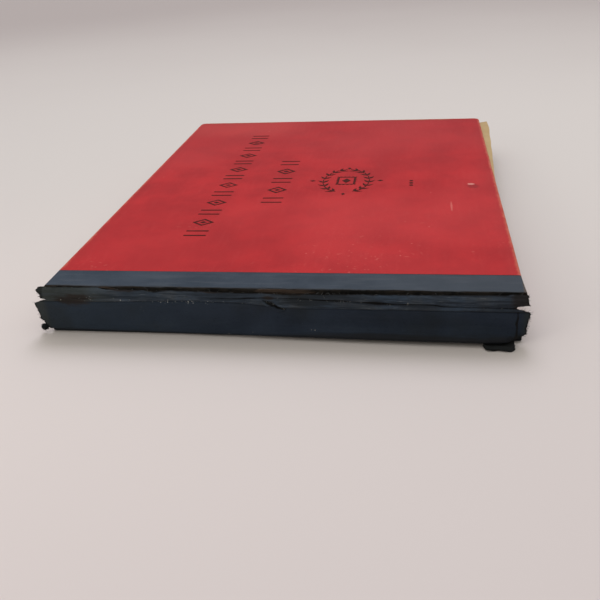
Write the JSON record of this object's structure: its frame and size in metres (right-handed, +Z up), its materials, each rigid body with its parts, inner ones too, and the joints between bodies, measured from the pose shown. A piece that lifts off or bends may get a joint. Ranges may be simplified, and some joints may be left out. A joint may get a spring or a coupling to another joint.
{
  "type": "stamp album",
  "caption": "Old quarter-bound stamp album with cloth-covered boards, a flat torn cloth spine and guarded card leaves; both covers and the front leaves open.",
  "frame": {"origin": "on the surface the album lies on, under the middle of its bounding box", "axes": "+X along the spine from head to tail, +Y from the spine to the fore-edge, +Z up out of the front cover"},
  "size_m": [0.2268, 0.29, 0.0239],
  "materials": {
    "red_cloth": "matte, faded and rubbed at the edges",
    "blue_cloth": "matte, faded slate blue",
    "spine_cloth": "matte, dark navy, worn",
    "board": "raw grey-brown millboard",
    "pastedown_paper": "aged cream paper",
    "flyleaf_paper": "browned loose leaf",
    "leaf_paper": "aged album card",
    "guard_paper": "browned guards",
    "spine_card": "brown spine card",
    "gauze": "open-weave binder's gauze",
    "kraft_paper": "brown lining paper",
    "print_ink": "dark brown printing ink",
    "staple_wire": "dulled wire with rust"
  },
  "bodies": {
    "text_block": {"spine_cloth": "spine_cloth", "spine_card": "spine_card", "spine_gauze": "gauze", "spine_lining": "kraft_paper", "head_fray": "spine_cloth", "tail_fray": "spine_cloth", "guards": "guard_paper", "staple_head": "staple_wire", "staple_middle": "staple_wire", "staple_tail": "staple_wire", "leaves_06": "leaf_paper", "leaves_07": "leaf_paper", "leaves_08": "leaf_paper", "leaves_09": "leaf_paper", "leaves_10": "leaf_paper", "leaves_11": "leaf_paper", "back_flyleaf": "flyleaf_paper"},
    "front_cover": {"front_board": "board", "front_cover_cloth": "red_cloth", "front_spine_strip": "blue_cloth", "front_pastedown": "pastedown_paper", "title_row_long": "print_ink", "title_row_short": "print_ink", "stamp_emblem": "print_ink", "small_mark": "print_ink"},
    "back_cover": {"back_board": "board", "back_cover_cloth": "red_cloth", "back_spine_strip": "blue_cloth", "back_pastedown": "pastedown_paper"},
    "flyleaf": {"front_flyleaf": "flyleaf_paper"},
    "title_page": {"title_leaf": "leaf_paper"},
    "leaf_group_1": {"leaves_01": "leaf_paper"},
    "leaf_group_2": {"leaves_02": "leaf_paper"},
    "leaf_group_3": {"leaves_03": "leaf_paper"},
    "leaf_group_4": {"leaves_04": "leaf_paper"},
    "leaf_group_5": {"leaves_05": "leaf_paper"}
  },
  "joints": [
    {"name": "front_cover_hinge", "type": "hinge", "parent": "text_block", "child": "front_cover", "pos_m": [0, -0.145, 0.0224], "axis": [1, 0, 0], "range_deg": [0, 179]},
    {"name": "back_cover_hinge", "type": "hinge", "parent": "text_block", "child": "back_cover", "pos_m": [0, -0.145, 0.004], "axis": [-1, 0, 0], "range_deg": [0, 179]},
    {"name": "flyleaf_hinge", "type": "hinge", "parent": "text_block", "child": "flyleaf", "pos_m": [0, -0.1317, 0.0226], "axis": [1, 0, 0], "range_deg": [0, 176.31]},
    {"name": "title_page_hinge", "type": "hinge", "parent": "text_block", "child": "title_page", "pos_m": [0, -0.1317, 0.0226], "axis": [1, 0, 0], "range_deg": [0, 175.42]},
    {"name": "leaf_group_1_hinge", "type": "hinge", "parent": "text_block", "child": "leaf_group_1", "pos_m": [0, -0.1317, 0.0226], "axis": [1, 0, 0], "range_deg": [0, 174.53]},
    {"name": "leaf_group_2_hinge", "type": "hinge", "parent": "text_block", "child": "leaf_group_2", "pos_m": [0, -0.1317, 0.0226], "axis": [1, 0, 0], "range_deg": [0, 173.63]},
    {"name": "leaf_group_3_hinge", "type": "hinge", "parent": "text_block", "child": "leaf_group_3", "pos_m": [0, -0.1317, 0.0226], "axis": [1, 0, 0], "range_deg": [0, 12.53]},
    {"name": "leaf_group_4_hinge", "type": "hinge", "parent": "text_block", "child": "leaf_group_4", "pos_m": [0, -0.1317, 0.0226], "axis": [1, 0, 0], "range_deg": [0, 8.05]},
    {"name": "leaf_group_5_hinge", "type": "hinge", "parent": "text_block", "child": "leaf_group_5", "pos_m": [0, -0.1317, 0.0226], "axis": [1, 0, 0], "range_deg": [0, 3.58]}
  ],
  "couplings": [
    {"joint": "flyleaf_hinge", "follows": "front_cover_hinge", "ratio": 0.985},
    {"joint": "title_page_hinge", "follows": "front_cover_hinge", "ratio": 0.98},
    {"joint": "leaf_group_1_hinge", "follows": "front_cover_hinge", "ratio": 0.975},
    {"joint": "leaf_group_2_hinge", "follows": "front_cover_hinge", "ratio": 0.97},
    {"joint": "leaf_group_3_hinge", "follows": "front_cover_hinge", "ratio": 0.07},
    {"joint": "leaf_group_4_hinge", "follows": "front_cover_hinge", "ratio": 0.045},
    {"joint": "leaf_group_5_hinge", "follows": "front_cover_hinge", "ratio": 0.02}
  ]
}
